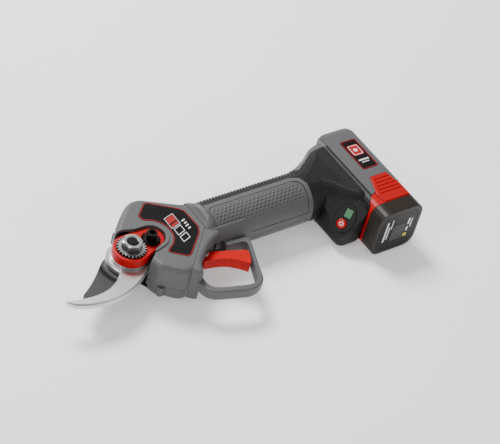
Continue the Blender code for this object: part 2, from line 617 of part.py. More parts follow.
for side, lo, hi in (("upper", 0.1, 60), ("lower", -60, -0.1)):
    half = box("handle_shell_" + side, (40, -80, lo), (240, 80, hi), "black_plastic")
    cut(half, funnel, "INTERSECT")

# ---------------------------------------------------------------- grey grip cover and inlays
def shell_arc(r0, r1, a0, a1, n=22):
    """Ring sector in the local XY plane whose X is tool +Z and Y is tool +Y, see PHI."""
    outer = [(r1 * math.cos(math.radians(a)), r1 * math.sin(math.radians(a)))
             for a in [a0 + (a1 - a0) * k / n for k in range(n + 1)]]
    inner = [(r0 * math.cos(math.radians(a)), r0 * math.sin(math.radians(a)))
             for a in [a1 + (a0 - a1) * k / n for k in range(n + 1)]]
    return outer + inner


PHI = Matrix(((0, 0, 1, 0), (1, 0, 0, 0), (0, 1, 0, 0), (0, 0, 0, 1)))   # local X to +Y, Y to +Z
cover = prism("grip_cover", [shell_arc(step + GAP, GRIP_R + 0.3, 74, 286, 40)], GRIP_X[0] + 0.2,
              GRIP_X[1], "grey_plastic", (0, GRIP_Y, 0), PHI)
plan_in = [(50, 11.5), (143.0, 11.5), (150.0, 8.8), (153.4, 2.0), (153.4, -60),
           (50, -60)]
cut(cover, prism("cut_cover_plan", [plan_in], -40, 40, None), "INTERSECT")
for side, a0, a1 in (("upper", 88, 171), ("lower", 189, 272)):
    plan = [(68.0, -40), (148.6, -40), (149.6, 1.0), (147.6, 5.2), (143.0, 7.8), (71.0, 7.8),
            (68.0, 5.0)]
    inlay = prism("grip_inlay_" + side, [shell_arc(GRIP_R - 0.5, GRIP_R + 0.5, a0, a1)], 66.0, 150.0,
                  "grip_rubber", (0, GRIP_Y, 0), PHI)
    cut(inlay, prism("cut_inlay_plan_" + side, [plan], -40, 40, None), "INTERSECT")
    well = prism("cut_well_" + side, [shell_arc(GRIP_R - 0.7, GRIP_R + 4, a0 - 0.8, a1 + 0.8)],
                 65.7, 150.3, None, (0, GRIP_Y, 0), PHI)
    cut(well, prism("cut_well_plan_" + side, [shrink(plan, -0.3)], -40, 40, None), "INTERSECT")
    cut(cover, well)

# ---------------------------------------------------------------- trigger guard with saddle
guard_out = [(31.0, -35.0), (61.8, -4.2), (66.0, -4.2), (66.0, -12.0), (76.0, -13.4),
             (84.6, -14.6), (92.0, -14.6), (91.4, -19.0), (89.4, -25.3), (81.5, -46.0),
             (79.9, -52.0), (77.0, -57.2), (70.8, -60.3), (63.2, -60.9), (54.5, -58.2),
             (40.3, -53.9), (35.9, -51.0), (33.6, -47.0), (32.4, -41.0), (31.4, -38.4)]
guard_in = [(47.0, -27.0), (56.0, -21.0), (62.0, -18.0), (70.0, -17.4), (80.0, -18.2),
            (86.6, -19.0), (87.4, -22.0), (81.2, -37.4), (77.5, -46.4), (75.0, -52.0),
            (72.6, -55.2), (69.0, -56.8), (61.4, -55.4), (49.4, -52.2), (40.6, -48.9),
            (38.0, -45.4), (37.3, -42.0), (37.6, -36.0), (40.0, -31.6)]
guard = pillow("trigger_guard", rounded(guard_out, 3.0, 2), -GUARD_Z, GUARD_Z, 1.3, 1.3, "grey_plastic")
cut(guard, prism("cut_guard_hole", [rounded(guard_in, 3.0, 2)], -20, 20, None))
neck_plan = [(22.0, -30.0), (50.0, -2.0), (68.0, -2.0), (68.0, -12.0), (61.0, -14.6),
             (54.0, -18.4), (46.2, -24.6), (41.0, -29.2), (38.0, -33.4), (36.0, -38.4),
             (34.4, -40.4), (31.8, -39.2), (29.0, -36.4)]
neck = pillow("cut_neck", neck_plan, -15.2, 14.0, 3.0, 3.0, None)
cut(neck, prism("cut_neck_seam", [NECK_SEAM], -40, 40, None))
cut(guard, neck, "UNION")
COLLAR = [(59.75, 8.0, 16.4, 14.6, 5.0), (61.2, 7.8, 17.2, 15.8, 8.0), (63.2, 7.2, 18.4, 17.9, 13.5),
          (65.0, GRIP_Y, 19.2, 19.1, 18.0), (66.4, GRIP_Y, 19.3, 19.3, 19.29)]
collar = loft("cut_grip_collar", [x_section(*c) for c in COLLAR], None)
cut(guard, collar, "UNION", "MANIFOLD")
saddle = prism("cut_saddle", [shell_arc(GRIP_R + 0.2, GRIP_R + 1.9, 134, 226, 16)], 62.5, 97.5, None,
               (0, GRIP_Y, 0), PHI)
bevel(saddle, 0.5, 1, 60)
cut(saddle, prism("cut_saddle_corner", [[(89.6, 0), (89.6, -7.4), (92.6, -8.2), (95.2, -10.2),
                                         (96.8, -13.0), (97.2, -16.0), (100, -16.0), (100, 0)]],
                  -40, 40, None))
cut(guard, saddle, "UNION")
cut(guard, rod("cut_guard_grip", GRIP_R + 0.7, 66.5, 120, None, (0, GRIP_Y, 0), ALONG_X, steps=48))
COLLAR_IN = [(55.0, 7.6, 14.4, 12.6, 4.0), (60.5, 7.4, 14.8, 13.2, 6.0),
             (64.0, 6.9, 15.8, 15.6, 11.0), (68.0, GRIP_Y, 16.6, 16.6, 16.59)]
cut(guard, loft("cut_collar_inside", [x_section(*c) for c in COLLAR_IN], None))
TRIG = (50.6, -19.4)
cut(guard, prism("cut_trigger_room", [arc(TRIG[0], TRIG[1], 4.9, 110, 205, 8)
                                      + [(43.6, -27.6), (50.0, -33.0), (72.0, -30.0), (72.0, -11.1),
                                         (54.0, -11.1)]], -4.9, 4.9, None))
cut(guard, rod("cut_pin_way", 1.65, -9.2, 9.2, None, (TRIG[0], TRIG[1], 0), steps=18))
cut(guard, rod("cut_spring_room", 3.6, -4.0, 8.8, None, (TRIG[0], TRIG[1], 0)))
cut(guard, drive_way)

# ---------------------------------------------------------------- trigger
trig_plan = [(47.8, -24.6), (56.6, -26.3), (62.0, -27.7), (66.5, -29.9), (72.6, -34.6),
             (77.4, -39.8), (80.2, -36.4), (83.4, -28.4), (81.3, -26.4), (69.4, -22.4),
             (57.0, -18.4), (53.6, -16.4), (50.8, -15.4), (48.0, -16.4), (46.6, -19.4),
             (46.6, -22.6)]
trig_plan = [(x - TRIG[0], y - TRIG[1]) for x, y in trig_plan]
trigger = prism("trigger", [trig_plan, circle(1.65, 18)], -4.3, 4.3, "trigger_red",
                (TRIG[0], TRIG[1], 0))
bevel(trigger, 0.9, 2, 60)
rod("trigger_pin", 1.6, -9.0, 9.0, "dark_steel", (TRIG[0], TRIG[1], 0), steps=18)
turns, per = 4, 10
coil = [(2.7 * math.cos(2 * math.pi * k / per), 2.7 * math.sin(2 * math.pi * k / per),
         5.1 + 3.0 * k / (turns * per)) for k in range(turns * per + 1)]
spring_curve = bpy.data.curves.new("spring_path", "CURVE")
spring_curve.dimensions = "3D"
spring_curve.bevel_depth = 0.26 * MM
spring_curve.bevel_resolution = 0
spring_curve.use_fill_caps = True
path = spring_curve.splines.new("POLY")
path.points.add(len(coil) - 1)
for point, xyz in zip(path.points, coil):
    point.co = (xyz[0] * MM, xyz[1] * MM, xyz[2] * MM, 1)
spring_tmp = bpy.data.objects.new("spring_tmp", spring_curve)
CUTTERS.objects.link(spring_tmp)
spring_mesh = bpy.data.meshes.new_from_object(spring_tmp)
bpy.data.objects.remove(spring_tmp, do_unlink=True)
weld = bmesh.new()
weld.from_mesh(spring_mesh)
bmesh.ops.remove_doubles(weld, verts=weld.verts, dist=1e-6)
weld.to_mesh(spring_mesh)
weld.free()
add("trigger_spring", spring_mesh, "zinc_steel", (TRIG[0], TRIG[1], 0))
bevel(box("trigger_switch", (55.4, -15.6, -3.0), (59.7, -11.4, 3.0), "black_plastic"), 0.5, 1, 60)

# ---------------------------------------------------------------- dock cover, label
right_pts = [(SEAM_X + 0.15, -28.0), (226.0, -21.4), (226.0, 60), (SEAM_X + 0.15, 60)]
BUTTON = [(216.6, -12.6), (201.4, -12.6), (194.6, -30.6), (196.6, -38.4), (219.6, -38.4),
          (218.6, -22.6)]
for side, lo, hi in (("upper", 0.1, 40), ("lower", -40, -0.1)):
    cov = prism("dock_cover_" + side, [right_pts], lo, hi, "grey_plastic")
    cut(cov, dock, "INTERSECT")
    cut(cov, bay)
    cut(cov, bay_end)
    z0, z1 = (BAY_HALF - 2, 30) if lo > 0 else (-30, -BAY_HALF + 2)
    cut(cov, prism("cut_notch_" + side, [shrink(BUTTON, -0.35)], z0, z1, None))
dl = rrect(7.1, 15.5, 1.2, 3, 209.1, 11.5)
cut(bpy.data.objects["dock_cover_upper"],
    prism("cut_dock_label", [shrink(dl, -GAP)], DOCK_HALF - 0.5, 30, None))
prism("dock_label", [dl], DOCK_HALF - 0.4, DOCK_HALF + 0.1, "label_black")
bevel(box("terminal_block", (192.0, 23.0, -9.0), (217.0, 34.0, 9.0), "black_plastic"), 1.0, 1, 60)

# ---------------------------------------------------------------- control panel
def on_panel(u, v, w):
    return tuple(PANEL_P + panel_rot.to_3x3() @ Vector((u, v, w)))


oval = [(7.6 * math.cos(t), 11.2 * math.sin(t)) for t in
        [2 * math.pi * k / 28 for k in range(28)]]
panel_at = (0.4, 5.0, 0.0)
panel_face = prism("control_panel", [oval, rrect(2.9, 3.6, 0.5, 2, 1.0, 4.4), circle(4.1, 22, -0.6, -4.6)],
               -1.6, 0.5, "black_plastic", at=on_panel(*panel_at), rot=panel_rot)
bevel(panel_face, 0.4, 1, 60)
hollow = prism("cut_panel_oval", [[(x * 1.04, y * 1.03) for x, y in oval]], -6.0, 8.0, None,
               at=on_panel(*panel_at), rot=panel_rot)
cut(funnel, hollow)
prism("display_window", [rrect(2.6, 3.3, 0.4, 2, 1.0, 4.4)], -1.4, 0.7, "display_green",
      at=on_panel(*panel_at), rot=panel_rot)
lathe("power_button", [(0, 1.1), (3.1, 1.1), (3.7, 0.7), (3.7, -2.2), (0, -2.2)], "red_plastic",
      at=on_panel(panel_at[0] - 0.6, panel_at[1] - 4.6, 0), rot=panel_rot)
box("control_board", (-4.4, -5.5, -4.4), (4.4, 6.5, -3.4), "circuit_board",
    at=on_panel(*panel_at), rot=panel_rot)

# ---------------------------------------------------------------- battery
YROT = Matrix.Rotation(math.radians(90), 4, "X")      # local Z to tool -Y


def y_prism(name, half, r, y0, y1, slot):
    return prism(name, [rrect(half, half, r, 5, BATT_X, 0)], -y1, -y0, slot, rot=YROT)


base = y_prism("battery_base", CAP_HALF, 9.0, CAP_Y[0], CAP_Y[1], "brown_plastic")
bevel(base, 1.6, 2, 60)
cut(base, y_prism("cut_base_inside", 18.25, 7.0, CAP_Y[0] + 1.9, CAP_Y[1] + 10, None))
cut(base, prism("cut_base_label", [rrect(17.3, 17.3, 7.6, 5, BATT_X, 0)], -CAP_Y[0] - 0.6,
                -CAP_Y[0] + 5, None, rot=YROT))
prism("battery_label", [rrect(17.0, 17.0, 7.4, 5, BATT_X, 0)], -CAP_Y[0] - 0.5, -CAP_Y[0] - 0.15,
      "label_black", rot=YROT)
housing = y_prism("battery_housing", STUB_HALF, 6.8, CAP_Y[1] + 0.2, 21.5, "red_plastic")
collar_trim = prism("cut_collar_plan", [[(170, -60), (240, -60), (240, -19.5), (224.6, -22.2),
                                         (SEAM_X, -28.6), (186.4, -33.6), (186.4, -34.8),
                                         (183.5, -37.6), (170, -37.6)]],
                    -40, 40, None)
collar = y_prism("cut_collar", DOCK_HALF - 0.1, 8.0, CAP_Y[1] + 0.2, -19.0, None)
cut(collar, collar_trim, "INTERSECT")
cut(housing, collar, "UNION")
cut(housing, y_prism("cut_housing_inside", 18.25, 6.4, CAP_Y[1] - 5, 20.3, None))
for side, z0, z1 in (("upper", 19.1, 20.8), ("lower", -20.8, -19.1)):
    room = (18.06, 30) if z0 > 0 else (-30, -18.06)
    cut(housing, prism("cut_button_" + side, [shrink(BUTTON, -0.3)], room[0], room[1], None))
    butt = prism("latch_button_" + side, [BUTTON], z0, z1, "red_plastic")
    bevel(butt, 0.5, 2, 60)
    sgn = 1 if z0 > 0 else -1
    for k in range(5):
        y = -16.5 - 3.4 * k
        rib = box("cut_rib_%s_%d" % (side, k), (202.6 - 0.35 * k * 3, y - 0.35, sgn * 20.55 - 0.3),
                  (217.0 + 0.2 * k, y + 0.35, sgn * 20.55 + 0.6), None)
        cut(butt, rib)
for i, (sx, sz) in enumerate(((1, 1), (-1, 1), (-1, -1), (1, -1))):
    rod("battery_cell_%d" % (i + 1), CELL_R, -16.2, 48.8, "cell_wrap",
        (BATT_X + sx * 9.05, 0, sz * 9.05), YROT, 28)
box("battery_board", (BATT_X - 16, 17.0, -16), (BATT_X + 16, 18.6, 16), "circuit_board")
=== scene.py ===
"""Looks of the battery electric pruner.  Lengths in the tables are millimetres in the tool's own
frame: the blade pivot is the Z axis, +X runs along the grip and -Y is the trigger side."""
import json
import math

import bmesh
import bpy
from mathutils import Matrix, Vector
from mathutils.bvhtree import BVHTree


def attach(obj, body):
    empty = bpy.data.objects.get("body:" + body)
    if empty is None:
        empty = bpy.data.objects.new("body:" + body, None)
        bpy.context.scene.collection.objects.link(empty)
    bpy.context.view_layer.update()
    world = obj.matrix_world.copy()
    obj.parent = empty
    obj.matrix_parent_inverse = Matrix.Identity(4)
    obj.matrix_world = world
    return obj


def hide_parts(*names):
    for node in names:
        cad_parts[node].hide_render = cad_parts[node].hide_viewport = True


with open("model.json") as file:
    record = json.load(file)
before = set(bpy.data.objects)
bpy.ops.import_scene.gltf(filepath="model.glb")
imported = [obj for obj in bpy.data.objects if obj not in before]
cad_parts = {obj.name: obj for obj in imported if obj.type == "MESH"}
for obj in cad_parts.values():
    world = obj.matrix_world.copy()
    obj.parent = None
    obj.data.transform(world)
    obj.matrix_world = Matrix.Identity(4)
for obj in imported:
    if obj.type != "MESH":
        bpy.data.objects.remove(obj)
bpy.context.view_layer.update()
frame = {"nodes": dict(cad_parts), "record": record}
NODES = frame["nodes"]

MM = 0.001
ORIGIN = Vector((-81.26, 8.85, 20.8))


# ---------------------------------------------------------------- materials
class Graph:
    """Small helper that adds and links shader nodes of one material."""

    def __init__(self, name):
        old = bpy.data.materials.get(name)
        if old:
            old.name = "cad_" + name
        mat = bpy.data.materials.new(name)
        mat.use_nodes = True
        self.open(mat)

    @classmethod
    def of(cls, mat):
        """Graph of a material that already has its nodes."""
        graph = cls.__new__(cls)
        graph.open(mat)
        return graph

    def open(self, mat):
        self.mat = mat
        self.tree = mat.node_tree
        self.bsdf = self.tree.nodes["Principled BSDF"]
        self.coord = self.node("TexCoord").outputs["Object"]

    def node(self, kind, **props):
        n = self.tree.nodes.new("ShaderNode" + kind)
        for key, value in props.items():
            setattr(n, key, value)
        return n

    def link(self, a, b):
        self.tree.links.new(a, b)

    def mapped(self, scale, rotation=(0, 0, 0), location=(0, 0, 0)):
        m = self.node("Mapping")
        m.inputs["Scale"].default_value = scale
        m.inputs["Rotation"].default_value = rotation
        m.inputs["Location"].default_value = location
        self.link(self.coord, m.inputs["Vector"])
        return m.outputs["Vector"]

    def noise(self, scale, detail=3.0, rough=0.5, vector=None):
        n = self.node("TexNoise")
        n.inputs["Scale"].default_value = scale
        n.inputs["Detail"].default_value = detail
        n.inputs["Roughness"].default_value = rough
        self.link(vector or self.coord, n.inputs["Vector"])
        return n.outputs["Fac"]

    def ramp(self, value, low, high, a=0.0, b=1.0):
        m = self.node("MapRange", clamp=True)
        m.inputs["From Min"].default_value = low
        m.inputs["From Max"].default_value = high
        m.inputs["To Min"].default_value = a
        m.inputs["To Max"].default_value = b
        self.link(value, m.inputs["Value"])
        return m.outputs["Result"]

    def mix(self, fac, a, b):
        m = self.node("Mix", data_type="RGBA")
        for key, value in ((6, a), (7, b)):
            if isinstance(value, tuple):
                m.inputs[key].default_value = (*value[:3], 1.0)
            else:
                self.link(value, m.inputs[key])
        if isinstance(fac, float):
            m.inputs[0].default_value = fac
        else:
            self.link(fac, m.inputs[0])
        return m.outputs[2]

    def math(self, op, a, b=0.0):
        m = self.node("Math", operation=op)
        for i, value in enumerate((a, b)):
            if isinstance(value, (int, float)):
                m.inputs[i].default_value = value
            else:
                self.link(value, m.inputs[i])
        return m.outputs[0]

    def bump(self, height, strength, distance):
        b = self.node("Bump")
        b.inputs["Strength"].default_value = strength
        b.inputs["Distance"].default_value = distance
        self.link(height, b.inputs["Height"])
        return b.outputs["Normal"]

    def split(self, vector):
        n = self.node("SeparateXYZ")
        self.link(vector, n.inputs[0])
        return n.outputs

    def overlay(self, mask, color):
        """Lay a colour over the base colour where the mask is 1."""
        under = self.bsdf.inputs["Base Color"].links[0].from_socket
        self.link(self.mix(mask, under, color), self.bsdf.inputs["Base Color"])
        return self.mat


def shade(c, k):
    return tuple(min(1.0, v * k) for v in c)


def plastic(name, color, rough, grain=1400.0, bump=0.25, spread=0.1, wear=None, coat=0.0,
            shine=0.5):
    """Moulded plastic: slow tone changes, fine spark-eroded grain, polish rubbed onto raised edges."""
    g = Graph(name)
    tone = g.ramp(g.noise(22.0, 3.0), 0.3, 0.7)
    body = g.mix(tone, shade(color, 1 - spread), shade(color, 1 + spread))
    speck = g.ramp(g.noise(2600.0, 2.0), 0.38, 0.62)
    body = g.mix(g.math("MULTIPLY", speck, 0.22), body, shade(color, 1.35))
    if wear:
        geo = g.node("NewGeometry")
        soft = g.node("Bevel", samples=4)
        soft.inputs["Radius"].default_value = 0.0005
        dot = g.node("VectorMath", operation="DOT_PRODUCT")
        g.link(soft.outputs["Normal"], dot.inputs[0])
        g.link(geo.outputs["Normal"], dot.inputs[1])
        edge = g.ramp(dot.outputs["Value"], 0.97, 0.85)
        patch = g.ramp(g.noise(160.0, 4.0), 0.35, 0.65)
        body = g.mix(g.math("MULTIPLY", g.math("MULTIPLY", edge, patch), 0.6), body, wear)
    g.link(body, g.bsdf.inputs["Base Color"])
    smear = g.noise(75.0, 4.0, 0.6)
    g.link(g.ramp(smear, 0.3, 0.7, rough - 0.04, rough + 0.04), g.bsdf.inputs["Roughness"])
    fine = g.noise(grain, 3.0, 0.6)
    g.link(g.bump(fine, bump, 0.00012), g.bsdf.inputs["Normal"])
    g.bsdf.inputs["Specular IOR Level"].default_value = shine
    g.bsdf.inputs["Coat Weight"].default_value = coat
    g.bsdf.inputs["Coat Roughness"].default_value = 0.15
    return g.mat


def dotted_rubber(name, color):
    """Soft grip with painted shade in the dimples: concave spots get a darker base colour than the skin
    round them.
    """
    g = Graph.of(plastic(name, color, 0.55, 900.0, 0.35))
    dimple_shade = g.ramp(g.node("NewGeometry").outputs["Pointiness"], 0.5, 0.42)
    # painted shade: base colour darkened where the surface is concave
    return g.overlay(dimple_shade, shade(color, 0.3))


def metal(name, color, rough, lines=None, line_scale=900.0, bump=0.12, stain=0.15, turn=0.0):
    """Metal with grinding lines across the given direction (None leaves it even)."""
    g = Graph(name)
    if lines:
        vec = g.mapped(lines, (0, 0, turn))
        streak = g.noise(line_scale, 4.0, 0.65, vec)
    else:
        streak = g.noise(line_scale, 4.0, 0.6)
    cloud = g.ramp(g.noise(45.0, 4.0, 0.6), 0.35, 0.7)
    body = g.mix(g.math("MULTIPLY", cloud, stain), color, shade(color, 0.55))
    body = g.mix(g.ramp(streak, 0.35, 0.65, 0.0, 0.25), body, shade(color, 0.8))
    g.link(body, g.bsdf.inputs["Base Color"])
    g.bsdf.inputs["Metallic"].default_value = 1.0
    r = g.math("ADD", g.ramp(streak, 0.3, 0.7, rough - 0.05, rough + 0.05),
               g.ramp(cloud, 0.0, 1.0, 0.0, 0.06))
    g.link(r, g.bsdf.inputs["Roughness"])
    g.link(g.bump(streak, bump, 0.00006), g.bsdf.inputs["Normal"])
    return g.mat


FLANK_X = 157.0
FLANK_Y = 17.2
FLANK_RISE = 0.62
FLANK_TOP = 28.6


def two_tone(name, color, other):
    """Black moulding whose rear flank, above a slanting line, is moulded in the covers' grey."""
    g = Graph.of(plastic(name, color, 0.5, spread=0.04, shine=0.28))
    place = g.split(g.coord)
    x = g.math("SUBTRACT", place["X"], (FLANK_X + ORIGIN.x) * MM)
    line = g.math("MINIMUM", g.math("MULTIPLY", x, FLANK_RISE), (FLANK_TOP - FLANK_Y) * MM)
    y = g.math("SUBTRACT", place["Y"], (FLANK_Y + ORIGIN.y) * MM)
    above = g.math("GREATER_THAN", g.math("SUBTRACT", y, line), 0.0)
    behind = g.math("GREATER_THAN", x, 0.0)
    return g.overlay(g.math("MULTIPLY", above, behind), other)


def side_shaded(name, color):
    """Plated metal with painted shade: faces turned sideways get a darker base colour than the bright
    top.
    """
    g = Graph.of(metal(name, color, 0.3, None, 420.0, 0.012, 0.06))
    normal = g.split(g.node("NewGeometry").outputs["Normal"])
    # painted shade on the flanks, ramped by the normal's Z
    return g.overlay(g.ramp(normal["Z"], 0.75, 0.35), shade(color, 0.16))


SHADE_SPAN = 50.0                                        # radius at the far end of the colour ramp
# radii and strengths of the painted shadow ring round the hub
HOOK_SHADE_RING = ((19.0, 0.0), (20.5, 1.0), (22.75, 0.9), (24.5, 0.0))


def coated(name, color):
    """Dark low-friction coat, with a ring of painted shadow round the blade's hub: the hook's cast
    shadow and the shade of the recessed centre.
    """
    g = Graph.of(metal(name, color, 0.4, (1.0, 0.15, 1.0), 900.0, 0.06))
    far = g.node("VectorMath", operation="LENGTH")
    g.link(g.mapped((1.0, 1.0, 0.0), location=(-ORIGIN.x * MM, -ORIGIN.y * MM, 0.0)), far.inputs[0])
    band = g.node("ValToRGB")
    stops = band.color_ramp.elements
    for stop, at in zip(stops, (0.0, 1.0)):
        stop.position = at
        stop.color = (0, 0, 0, 1)
    for radius, level in HOOK_SHADE_RING:
        stops.new(radius / SHADE_SPAN).color = (level, level, level, 1)
    g.link(g.math("MULTIPLY", far.outputs["Value"], 1.0 / (SHADE_SPAN * MM)), band.inputs["Fac"])
    # painted shadow: base colour darkened in the ring round the hub
    return g.overlay(band.outputs["Color"], shade(color, 0.25))


GREY_TONE = (0.090, 0.091, 0.094)
BLACK_TONE = (0.0065, 0.0065, 0.007)
GREY = plastic("grey_plastic", GREY_TONE, 0.52, spread=0.02, wear=(0.14, 0.14, 0.14),
               shine=0.35)
BLACK = plastic("black_plastic", BLACK_TONE, 0.5, spread=0.04,
                wear=(0.022, 0.022, 0.022), shine=0.28)
SHELL = two_tone("shell_black", BLACK_TONE, GREY_TONE)
RUBBER = dotted_rubber("grip_rubber", (0.080, 0.081, 0.084))
RED = plastic("red_plastic", (0.40, 0.0012, 0.0015), 0.4, 1600.0, 0.12, 0.05, shine=0.2)
TRIGGER = plastic("trigger_red", (0.50, 0.0025, 0.002), 0.42, 1600.0, 0.12, 0.05, shine=0.15)
BROWN = plastic("brown_plastic", (0.015, 0.0105, 0.007), 0.46, 1500.0, 0.15, 0.05,
                wear=(0.05, 0.04, 0.03), shine=0.3)
LABEL = plastic("label_black", (0.0045, 0.0035, 0.004), 0.36, 800.0, 0.05, 0.08, shine=0.2)
STEEL = metal("blade_steel", (0.68, 0.68, 0.677), 0.33, (1.0, 0.08, 1.0), 1500.0, 0.04, turn=0.5)
COATED = coated("coated_steel", (0.07, 0.07, 0.072))
ZINC = metal("zinc_steel", (0.50, 0.497, 0.49), 0.3, None, 420.0, 0.012, 0.06)
# nut metal with painted shade on its flanks
NUT = side_shaded("nut_zinc", (0.56, 0.557, 0.55))
DARK = metal("dark_steel", (0.03, 0.03, 0.033), 0.34, None, 800.0)
GEAR = metal("gear_steel", (0.42, 0.42, 0.43), 0.34, None, 900.0)
BRONZE = metal("bronze", (0.55, 0.35, 0.15), 0.36, None, 900.0)
ALU = metal("aluminium", (0.66, 0.66, 0.67), 0.42, None, 1500.0, 0.3)
GREEN = plastic("display_green", (0.035, 0.15, 0.055), 0.3, 600.0, 0.03, 0.1, coat=0.2, shine=0.3)
BOARD = plastic("circuit_board", (0.016, 0.13, 0.05), 0.4, 500.0, 0.2)
WRAP = plastic("cell_wrap", (0.04, 0.18, 0.42), 0.35, 400.0, 0.1)
PRINT_RED = plastic("print_red", (0.36, 0.002, 0.004), 0.35, 700.0, 0.05, 0.1)
PRINT_WHITE = plastic("print_white", (0.75, 0.74, 0.73), 0.4, 700.0, 0.05, 0.05)
PRINT_GREY = plastic("print_grey", (0.16, 0.15, 0.14), 0.5, 700.0, 0.05, 0.1)
PRINT_YELLOW = plastic("print_yellow", (0.75, 0.62, 0.03), 0.4, 700.0, 0.05, 0.05)
FINISH = {m.name: m for m in (GREY, BLACK, RUBBER, RED, TRIGGER, BROWN, LABEL, STEEL, COATED, ZINC,
                              DARK, GEAR, BRONZE, ALU, GREEN, BOARD, WRAP)}
SLOT_OF = {p["node"]: p["material_slot"] for p in frame["record"]["subparts"]}


def soften(ob, angle=35.0, even=True):
    """Smooth shading with creases above the angle; even keeps broad flats flat."""
    me = ob.data
    for poly in me.polygons:
        poly.use_smooth = True
    me.set_sharp_from_angle(angle=math.radians(angle))
    if even:
        mod = ob.modifiers.new("even", "WEIGHTED_NORMAL")
        mod.keep_sharp = True
    return ob


METAL_CREASE = 24.0
for name, node in NODES.items():
    slot = SLOT_OF[name]
    is_shell = name.startswith("handle_shell")
    node.data.materials.clear()
    node.data.materials.append(SHELL if is_shell else FINISH[slot])
    is_metal = "steel" in slot or slot in ("bronze", "aluminium")
    soften(node, METAL_CREASE if is_metal else 35.0, not is_shell)


# ---------------------------------------------------------------- shape helpers
def arc(cx, cy, r, a0, a1, n):
    return [(cx + r * math.cos(math.radians(a0 + (a1 - a0) * k / n)),
             cy + r * math.sin(math.radians(a0 + (a1 - a0) * k / n))) for k in range(n + 1)]


def circle(r, n=32, cx=0.0, cy=0.0):
    return arc(cx, cy, r, 0, 360 - 360 / n, n - 1)


def rrect(w, h, r, n=4, cx=0.0, cy=0.0):
    pts = []
    for sx, sy, a in ((1, 1, 0), (-1, 1, 90), (-1, -1, 180), (1, -1, 270)):
        pts += arc(cx + sx * (w - r), cy + sy * (h - r), r, a, a + 90, n)
    return pts


def shrink(points, d):
    """Offset a closed outline inwards by d."""
    out = []
    n = len(points)
    turn = sum(points[i - 1][0] * points[i][1] - points[i][0] * points[i - 1][1] for i in range(n))
    if turn < 0:
        d = -d
    for i in range(n):
        a, b, c = Vector(points[i - 1]), Vector(points[i]), Vector(points[(i + 1) % n])
        e1 = (b - a).normalized()
        e2 = (c - b).normalized()
        n1 = Vector((-e1.y, e1.x))
        n2 = Vector((-e2.y, e2.x))
        m = (n1 + n2) / max(0.35, 1 + n1.dot(n2))
        out.append(tuple(b + m * d))
    return out


def rounded(points, r, n=3):
    """Outline with each corner cut by a small arc-like run of points."""
    out = []
    count = len(points)
    for i in range(count):
        a, b, c = Vector(points[i - 1]), Vector(points[i]), Vector(points[(i + 1) % count])
        d1 = min(r, (a - b).length * 0.45)
        d2 = min(r, (c - b).length * 0.45)
        p = b + (a - b).normalized() * d1
        q = b + (c - b).normalized() * d2
        for k in range(n + 1):
            t = k / n
            out.append(tuple(p * (1 - t) ** 2 + b * 2 * t * (1 - t) + q * t * t))
    return out


def finish(name, bm, mat, body, place=None, nodes=(), angle=35.0):
    """Mesh built in tool millimetres, put in the row frame, riding on a body."""
    bmesh.ops.remove_doubles(bm, verts=bm.verts, dist=1e-5)
    bmesh.ops.recalc_face_normals(bm, faces=bm.faces)
    m = Matrix.Translation(ORIGIN) @ (place or Matrix.Identity(4))
    for v in bm.verts:
        v.co = (m @ v.co) * MM
    me = bpy.data.meshes.new(name)
    bm.to_mesh(me)
    bm.free()
    me.materials.append(mat)
    ob = bpy.data.objects.new(name, me)
    bpy.context.scene.collection.objects.link(ob)
    soften(ob, angle)
    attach(ob, body)
    if nodes:
        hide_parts(*nodes)
    return ob


def slab_into(bm, loop, z0, z1, crown=0.0):
    """Closed flat slab on an outline; crown rounds the top edge a little."""
    levels = [(z0, 0.0), (z1 - crown, 0.0)]
    if crown:
        levels += [(z1 - crown * 0.3, crown * 0.3), (z1, crown)]
    rows = []
    for z, d in levels:
        pts = shrink(loop, d) if d else loop
        rows.append([bm.verts.new((x, y, z)) for x, y in pts])
    n = len(loop)
    for a, b in zip(rows, rows[1:]):
        for i in range(n):
            j = (i + 1) % n
            bm.faces.new((a[i], a[j], b[j], b[i]))
    bm.faces.new(list(reversed(rows[0])))
    bm.faces.new(rows[-1])


def ring_into(bm, outer, inner, z0, z1):
    """Closed band between two outlines of equal length."""
    rows = [[bm.verts.new((x, y, z)) for x, y in loop]
            for loop, z in ((outer, z0), (outer, z1), (inner, z1), (inner, z0))]
    n = len(outer)
    for k in range(4):
        a, b = rows[k], rows[(k + 1) % 4]
        for i in range(n):
            j = (i + 1) % n
            bm.faces.new((a[i], a[j], b[j], b[i]))


def strokes(name, shapes, z0, z1, mat, body, place=None):
    """Raised print: several separate outlines as thin slabs in one piece."""
    bm = bmesh.new()
    for shape in shapes:
        slab_into(bm, shape, z0, z1)
    return finish(name, bm, mat, body, place)


def bar(x, y, w, h, lean=0.0):
    """Slanted bar with its lower left corner at x, y."""
    return [(x, y), (x + w, y), (x + w + lean, y + h), (x + lean, y + h)]


def slanted(x, y, w, h, lean=2.4):
    """Slanted block whose long sides run along X."""
    return [(x, y), (x + w, y + lean), (x + w, y + h + lean), (x, y + h)]


def to_radius(points, r):
    """The outline's points moved along their own directions onto a circle."""
    return [(r * x / math.hypot(x, y), r * y / math.hypot(x, y)) for x, y in points]


GRIP_Y = 6.7
GRIP_R = 19.0
HEAD_TOP = 14.3
HEAD_PRINT = (HEAD_TOP + 0.05, HEAD_TOP + 0.21)        # foot and top of the head label's print
HEAD_PRINT_LOW = (HEAD_TOP + 0.05, HEAD_TOP + 0.2)     # the same, a shade lower where prints meet
DOCK_PRINT = (20.4, 20.56)
DOCK_PRINT_2 = (20.5, 20.62)                           # second print layer, over the badge

# ---------------------------------------------------------------- soft grip pads with dimples
ROW = 2.45
STEP = 3.55
DIMPLE = 0.62
PAD_R = GRIP_R + 0.5
PAD_THICK = 0.75


